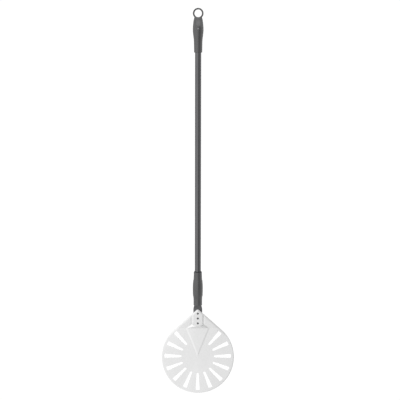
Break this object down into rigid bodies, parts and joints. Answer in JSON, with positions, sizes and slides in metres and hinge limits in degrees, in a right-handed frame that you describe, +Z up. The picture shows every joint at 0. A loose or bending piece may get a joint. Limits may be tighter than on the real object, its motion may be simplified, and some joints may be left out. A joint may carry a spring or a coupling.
{
  "type": "pizza peel",
  "caption": "Round perforated pizza peel on a long tube handle, with a grip that slides and turns on the tube and an end grip with a hanging eye.",
  "frame": {"origin": "centre of the hanging eye at the end of the handle", "axes": "+Z up the handle towards the eye, with the disc at the bottom; -Y is the side that carries the pizza; X across the disc"},
  "size_m": [0.23, 0.0444, 1.2002],
  "materials": {
    "brushed_steel": "satin stainless sheet with a fine even grain",
    "anodised_aluminium": "dark grey satin anodising",
    "dark_rivet_steel": "darkened steel, satin",
    "bright_rivet": "plain aluminium, satin",
    "grip_plastic": "dark grey moulded plastic with a fine spark texture",
    "bush_plastic": "black bearing plastic, smooth"
  },
  "bodies": {
    "handle": {"head_disc": "brushed_steel", "handle_tube": "anodised_aluminium", "neck_rivet_1": "dark_rivet_steel", "neck_rivet_2": "dark_rivet_steel", "neck_rivet_3": "dark_rivet_steel", "end_grip": "grip_plastic", "end_grip_rivet": "bright_rivet"},
    "grip_bushes": {"lower_bush": "bush_plastic", "upper_bush": "bush_plastic"},
    "sliding_grip": {"sliding_grip": "grip_plastic"}
  },
  "joints": [
    {"name": "grip_slide", "type": "slide", "parent": "handle", "child": "grip_bushes", "axis": [0, 0, 1], "range_m": [0, 0.677]},
    {"name": "grip_spin", "type": "hinge", "parent": "grip_bushes", "child": "sliding_grip", "pos_m": [0, 0, -0.85], "axis": [0, 0, 1], "continuous": true}
  ]
}
